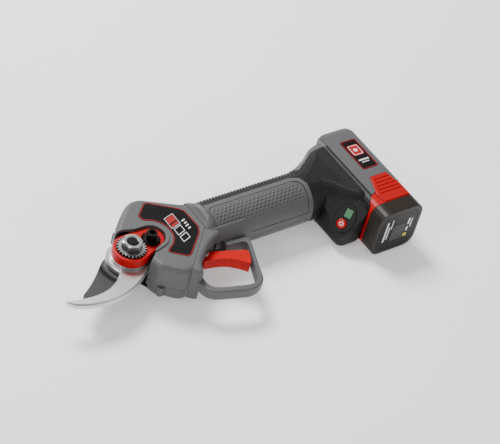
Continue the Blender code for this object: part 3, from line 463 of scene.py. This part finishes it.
def dimple(x, s, fade):
    """Depth of the staggered oval dimples at x along and s round the grip."""
    row = round(s / ROW)
    shift = 0.5 * STEP if row % 2 else 0.0
    col = round((x - shift) / STEP)
    dx = (x - shift - col * STEP) / 1.05
    dy = (s - row * ROW) / 0.78
    d = dx * dx + dy * dy
    return DIMPLE * fade * (1 - d) if d < 1 else 0.0


def grip_pad(side):
    """Curved pad on one half of the grip: a dimpled skin, a plain back and a rim between."""
    arc_len = math.radians(82.0) * PAD_R
    nx, ns = 190, 66                                  # cells along and round the grip
    bm = bmesh.new()
    grids = []
    for level in (0, 1):
        rows = []
        for j in range(ns + 1):
            s = arc_len * j / ns
            lo = 68.3 + max(0.0, 2.4 - s)
            hi = 149.3 - max(0.0, 6.8 - s) ** 2 / 6.8
            row = []
            for i in range(nx + 1):
                x = lo + (hi - lo) * i / nx
                inset = min(x - lo, hi - x, s, arc_len - s)
                r = PAD_R
                if level:
                    r -= PAD_THICK
                else:
                    roll = max(0.0, 1 - inset / 0.7)
                    r -= 0.35 * roll * roll
                    edge = min(1.0, max(0.0, (min(x - lo, hi - x, s) - 2.0) / 1.0))
                    r -= dimple(x, s, edge * min(1.0, max(0.0, (20.0 - s) / 8.0)))
                ang = math.radians(88.5) + s / PAD_R
                z = r * math.sin(ang)
                row.append(bm.verts.new((x, GRIP_Y + r * math.cos(ang),
                                         z if side == "upper" else -z)))
            rows.append(row)
        grids.append(rows)
        for j in range(ns):
            for i in range(nx):
                bm.faces.new((rows[j][i], rows[j][i + 1], rows[j + 1][i + 1], rows[j + 1][i]))
    top, low = grids

    def rim(g):
        return ([g[0][i] for i in range(nx)] + [g[j][nx] for j in range(ns)]
                + [g[ns][i] for i in range(nx, 0, -1)] + [g[j][0] for j in range(ns, 0, -1)])

    a, b = rim(top), rim(low)
    for i in range(len(a)):
        j = (i + 1) % len(a)
        bm.faces.new((a[i], a[j], b[j], b[i]))
    finish("grip_pad_" + side, bm, RUBBER, "tool", None, ("grip_inlay_" + side,), 50.0)


grip_pad("upper")
grip_pad("lower")

# ---------------------------------------------------------------- raised dots on the black shell
def surface_of(*names):
    """Search tree over the meshes of the named nodes."""
    bm = bmesh.new()
    for n in names:
        bm.from_mesh(NODES[n].data)
    tree = BVHTree.FromBMesh(bm)
    bm.free()
    return tree


def dome_into(bm, at, normal, r, h):
    """Small round dome with its foot sunk in the surface."""
    x = normal.orthogonal().normalized()
    y = normal.cross(x)
    rows = []
    for rad, up in ((1.0, -0.25), (0.82, 0.55), (0.45, 0.92)):
        rows.append([bm.verts.new(at + (x * math.cos(a) + y * math.sin(a)) * r * rad
                                  + normal * h * up)
                     for a in [2 * math.pi * k / 7 for k in range(7)]])
    for a, b in zip(rows, rows[1:]):
        for i in range(7):
            j = (i + 1) % 7
            bm.faces.new((a[i], a[j], b[j], b[i]))
    bm.faces.new(list(reversed(rows[0])))
    bm.faces.new(rows[-1])


DOT_R = 0.78
DOT_H = 0.42
DOT_PITCH = 2.7
DOT_ROW = 7.2                                         # degrees between rows round the grip
shell = surface_of("handle_shell_upper", "handle_shell_lower")
dots = bmesh.new()
for side in (1, -1):
    for row in range(17):
        x_shift = DOT_PITCH / 2 if row % 2 else 0.0
        angle = 9.0 + DOT_ROW * row
        for col in range(42):
            x = 70.5 + DOT_PITCH * col + x_shift
            if angle > 66 and x < 156.5:
                continue
            if x > 163.5 + 0.13 * angle:
                continue
            a = math.radians(angle)
            out = Vector((0, math.cos(a), side * math.sin(a)))
            start = Vector((x, GRIP_Y, 0)) + out * 34
            lean = Vector((0.35 if x > 156 else 0.0, 0, 0))
            hit, normal, _, dist = shell.ray_cast((start + ORIGIN) * MM, (lean - out).normalized())
            if hit is None or dist > 0.020:
                continue
            if normal.dot(out) < 0.2:
                continue
            at = hit / MM - ORIGIN
            flank = min(FLANK_Y + FLANK_RISE * (at.x - FLANK_X), FLANK_TOP)
            if at.x > FLANK_X and at.y > flank - 1:
                continue
            dome_into(dots, at, normal, DOT_R, DOT_H)
finish("grip_dots", dots, BLACK, "tool", None, (), 60.0)

# ---------------------------------------------------------------- label borders and plain marks
label_plan = [(33.4, 33.4), (31.0, 33.2), (21.5, 25.0), (20.6, 23.0), (21.4, 19.6)]
label_plan += arc(18.7, 3.3, 15.6, 72, -68, 14)
label_plan += [(21.8, -14.0), (23.4, -16.4), (32.4, -23.4), (35.6, -22.8), (52.6, -7.0),
               (55.6, -1.6), (54.8, 15.6), (52.2, 19.4)]
bm = bmesh.new()
ring_into(bm, shrink(label_plan, 0.15), shrink(label_plan, 0.68), *HEAD_PRINT)
finish("head_label_border", bm, PRINT_RED, "tool")
strokes("head_label_mark_red", [slanted(37.0, 4.6, 7.2, 2.3), slanted(37.0, 8.2, 7.2, 5.4)],
        *HEAD_PRINT, PRINT_RED, "tool")
bm = bmesh.new()
for y, h in ((-10.6, 5.6), (-3.6, 6.4)):
    block = slanted(37.0, y, 7.2, h)
    ring_into(bm, block, shrink(block, 0.5), *HEAD_PRINT)
block = slanted(36.2, 3.8, 8.8, 10.8)
ring_into(bm, block, shrink(block, 0.35), *HEAD_PRINT_LOW)
for k in range(4):
    longer = 0.5 * (k % 2)
    dash = slanted(47.4 - longer, -1.0 + 2.7 * k, 2.6 + longer, 1.1, 0.9)
    slab_into(bm, dash, *HEAD_PRINT_LOW)
finish("head_label_mark_white", bm, PRINT_WHITE, "tool")

dock = rrect(7.1, 15.5, 1.2, 4, 209.1, 11.5)
bm = bmesh.new()
ring_into(bm, shrink(dock, 0.15), shrink(dock, 0.6), *DOCK_PRINT)
finish("dock_label_border", bm, PRINT_RED, "tool")
badge = rrect(5.0, 5.6, 1.8, 5, 209.1, 16.0)
strokes("dock_label_badge", [badge], *DOCK_PRINT, PRINT_RED, "tool")
bm = bmesh.new()
ring_into(bm, shrink(badge, 0.7), shrink(badge, 1.15), *DOCK_PRINT_2)
finish("dock_label_ring", bm, PRINT_WHITE, "tool")
strokes("dock_label_mark", [circle(1.7, 20, 209.1, 16.0), bar(204.6, 4.6, 9.0, 1.4),
                            bar(205.8, 2.4, 6.6, 0.7)],
        *DOCK_PRINT_2, PRINT_WHITE, "tool")

END = Matrix.Rotation(math.radians(90), 4, "X")       # local Z to tool -Y, local Y to tool +Z
END_TOP = 51.15                                       # height of the end label in its own frame
END_PRINT = (END_TOP - 0.1, END_TOP + 0.1)
strokes("battery_label_print", [bar(192.5, -9.0, 1.5, 20.0), bar(195.4, -7.0, 0.9, 13.0),
                                bar(197.4, 3.0, 0.7, 9.0), bar(213.4, -4.0, 1.6, 4.2),
                                bar(213.4, 2.6, 1.6, 6.2), bar(216.4, -1.0, 0.9, 9.0)],
        *END_PRINT, PRINT_WHITE, "battery", END)
strokes("battery_label_patch", [rrect(1.5, 1.5, 0.5, 3, 214.0, -8.0)], *END_PRINT,
        PRINT_YELLOW, "battery", END)
bm = bmesh.new()
for i in range(11):
    for j in range(13):
        slab_into(bm, circle(0.36, 6, 200.4 + 1.1 * i, -9.4 + 1.1 * j), END_TOP - 0.1, END_TOP + 0.08)
finish("battery_label_dots", bm, PRINT_GREY, "battery", END)

# ---------------------------------------------------------------- power button print
PANEL_N = Vector((-0.70, -0.36, 0.61)).normalized()
px = Vector((0, 0, 1)).cross(PANEL_N).normalized()
py = PANEL_N.cross(px)
PANEL = Matrix.Translation((169.2, -28.8, -1.4)) @ Matrix((px, py, PANEL_N)).transposed().to_4x4()
bm = bmesh.new()
gap = arc(0.0, 0.0, 1.75, 125, 415, 22) + arc(0.0, 0.0, 1.2, 415, 125, 22)
slab_into(bm, [(x - 0.2, y + 0.4) for x, y in gap], 1.05, 1.18)
slab_into(bm, [(x - 0.2, y + 0.4) for x, y in bar(-0.28, 0.4, 0.56, 1.9)], 1.05, 1.18)
finish("power_mark", bm, PRINT_WHITE, "power_button", PANEL)

# ---------------------------------------------------------------- pivot nut with toothed flange
def cycle_into(bm, levels):
    """Closed ring of revolution-like rows: each level is (outline, height), first joined to last."""
    rows = [[bm.verts.new((x, y, z)) for x, y in loop] for loop, z in levels]
    n = len(rows[0])
    for k in range(len(rows)):
        a, b = rows[k], rows[(k + 1) % len(rows)]
        for i in range(n):
            j = (i + 1) % n
            bm.faces.new((a[i], a[j], b[j], b[i]))


NUT_TEETH = 26
TOOTH = ((-0.30, 9.3), (-0.14, 10.7), (-0.04, 10.86), (0.04, 10.86), (0.14, 10.7), (0.30, 9.3))
teeth = []
for k in range(NUT_TEETH):
    for off, rad in TOOTH:
        a = 2 * math.pi * (k + off + 0.5) / NUT_TEETH
        teeth.append((rad * math.cos(a), rad * math.sin(a)))
bore = to_radius(teeth, 4.25)
bm = bmesh.new()
eased = [(x * 0.975, y * 0.975) for x, y in teeth]
cycle_into(bm, [(teeth, 13.25), (teeth, 14.45), (eased, 14.7), (bore, 14.7), (bore, 13.25)])
NUT_FLAT = 6.65                                       # half the size across flats
NUT_TURN = -19.9
corners = arc(0, 0, NUT_FLAT / math.cos(math.pi / 6), NUT_TURN, NUT_TURN + 300, 5)
hexagon = []
for k in range(6):
    a, b = Vector(corners[k]), Vector(corners[(k + 1) % 6])
    for t in range(10):
        hexagon.append(tuple(a + (b - a) * t / 10))
hex_bore = to_radius(hexagon, 4.2)


def worn(r_max):
    """Hexagon whose corners are turned down to a radius."""
    return [(x * min(1, r_max / math.hypot(x, y)), y * min(1, r_max / math.hypot(x, y)))
            for x, y in hexagon]


lip_out = to_radius(hexagon, 4.75)
cycle_into(bm, [(worn(7.5), 14.7), (hexagon, 15.0), (hexagon, 19.3), (worn(7.2), 19.75),
                (worn(6.55), 20.0), (lip_out, 20.0), (hex_bore, 19.6), (hex_bore, 14.7)])
nut = finish("nut_toothed", bm, NUT, "tool", None, ("adjusting_nut",), 22.0)

# ---------------------------------------------------------------- hook blade
HOOK_OUT = [(3.8, -16.9), (-0.5, -20.4), (-4.0, -22.3), (-11.0, -25.9), (-17.5, -28.2),
            (-25.0, -30.2), (-34.0, -30.7), (-44.0, -29.4), (-51.5, -27.4), (-58.5, -24.0)]
HOOK_IN = [(-62.5, -19.2), (-61.2, -18.0), (-52.0, -20.5), (-44.8, -21.4), (-36.2, -21.5),
           (-27.2, -19.5), (-20.0, -15.9), (-15.6, -11.6)]
hook = (HOOK_OUT[:1] + rounded(HOOK_OUT, 4.0, 5)[6:-6] + HOOK_OUT[-1:] + HOOK_IN[:2]
        + rounded(HOOK_IN, 4.0, 5)[12:-6] + HOOK_IN[-1:] + arc(0, 0, 16.3, 215, 78, 40)
        + [(8.5, 13.4), (15.8, 12.6), (18.0, 10.0), (18.0, -8.6), (13.0, -12.6), (9.0, -14.2)])
bm = bmesh.new()
rows = [[bm.verts.new((x, y, z)) for x, y in (shrink(hook, d) if d else hook)]
        for z, d in ((-0.2, 0.25), (0.0, 0.0), (3.0, 0.0), (3.15, 0.1), (3.9, 0.95), (4.0, 1.15))]
for a, b in zip(rows, rows[1:]):
    for i in range(len(a)):
        j = (i + 1) % len(a)
        bm.faces.new((a[i], a[j], b[j], b[i]))
bm.faces.new(list(reversed(rows[0])))
bm.faces.new(rows[-1])
hook_ob = finish("hook_blade", bm, STEEL, "tool", None, ("fixed_blade",), 24.0)
drill = bmesh.new()
for r, cx, cy in ((4.25, 0, 0), (1.7, 13.2, 9.4), (1.7, 13.2, -8.2)):
    slab_into(drill, circle(r, 32, cx, cy), -3, 8)
bmesh.ops.recalc_face_normals(drill, faces=drill.faces)
for v in drill.verts:
    v.co = (v.co + ORIGIN) * MM
drill_me = bpy.data.meshes.new("drill")
drill.to_mesh(drill_me)
drill.free()
drill_ob = bpy.data.objects.new("drill", drill_me)
bpy.context.scene.collection.objects.link(drill_ob)
mod = hook_ob.modifiers.new("holes", "BOOLEAN")
mod.object = drill_ob
mod.operation = "DIFFERENCE"
mod.solver = "EXACT"
bpy.context.view_layer.update()
flatmesh = bpy.data.meshes.new_from_object(hook_ob.evaluated_get(bpy.context.evaluated_depsgraph_get()))
hook_ob.modifiers.clear()
hook_ob.data = flatmesh
bpy.data.objects.remove(drill_ob, do_unlink=True)
soften(hook_ob, 24.0)

# ---------------------------------------------------------------- dark disc under the nut: painted shade showing in the gaps between its teeth
bm = bmesh.new()
# dark disc as wide as the teeth, painted shade seen only between them
ring_into(bm, circle(10.9, 48), circle(5.2, 48), 13.02, 13.17)
finish("nut_gap_shade", bm, DARK, "tool", None, (), 24.0)

# ---------------------------------------------------------------- floor, light and camera
me = bpy.data.meshes.new("floor")
me.from_pydata([(-6, -6, 0), (6, -6, 0), (6, 6, 0), (-6, 6, 0)], [], [(0, 1, 2, 3)])
floor = bpy.data.objects.new("floor", me)
bpy.context.scene.collection.objects.link(floor)
FLOOR_GAP = 0.0008
floor.location.z = -FLOOR_GAP
pale = Graph("pale_floor")
tone = pale.ramp(pale.noise(3.0, 2.0), 0.3, 0.7)
pale.link(pale.mix(tone, (0.93, 0.93, 0.93), (0.97, 0.97, 0.97)), pale.bsdf.inputs["Base Color"])
pale.bsdf.inputs["Roughness"].default_value = 0.9
pale.bsdf.inputs["Emission Color"].default_value = (1.0, 1.0, 1.0, 1.0)
pale.bsdf.inputs["Emission Strength"].default_value = 0.35
floor.data.materials.append(pale.mat)

world = bpy.data.worlds.new("studio")
bpy.context.scene.world = world
world.use_nodes = True
back = world.node_tree.nodes["Background"]
back.inputs["Color"].default_value = (1.0, 1.0, 1.0, 1.0)
back.inputs["Strength"].default_value = 0.42


def area(name, at, size, power):
    """Square soft light that faces the tool."""
    data = bpy.data.lights.new(name, "AREA")
    data.shape = "RECTANGLE"
    data.size = size
    data.size_y = size
    data.energy = power
    ob = bpy.data.objects.new(name, data)
    bpy.context.scene.collection.objects.link(ob)
    ob.location = at
    ob.rotation_euler = (-Vector(at)).to_track_quat("-Z", "Y").to_euler()


area("key", (-0.1, 0.9, 1.2), 0.55, 34.0)
area("left", (-1.2, -0.1, 0.8), 0.5, 5.0)
area("front", (0.5, -1.0, 0.5), 0.7, 2.0)

lens = bpy.data.cameras.new("camera")
lens.lens = 144
lens.sensor_width = 36
lens.clip_end = 30
cam = bpy.data.objects.new("camera", lens)
bpy.context.scene.collection.objects.link(cam)
cam.location = (-0.74402, -0.73433, 0.99415)
cam.rotation_euler = [math.radians(a) for a in (46.447, -12.0523, -34.7321)]
bpy.context.scene.camera = cam

bpy.context.view_layer.update()
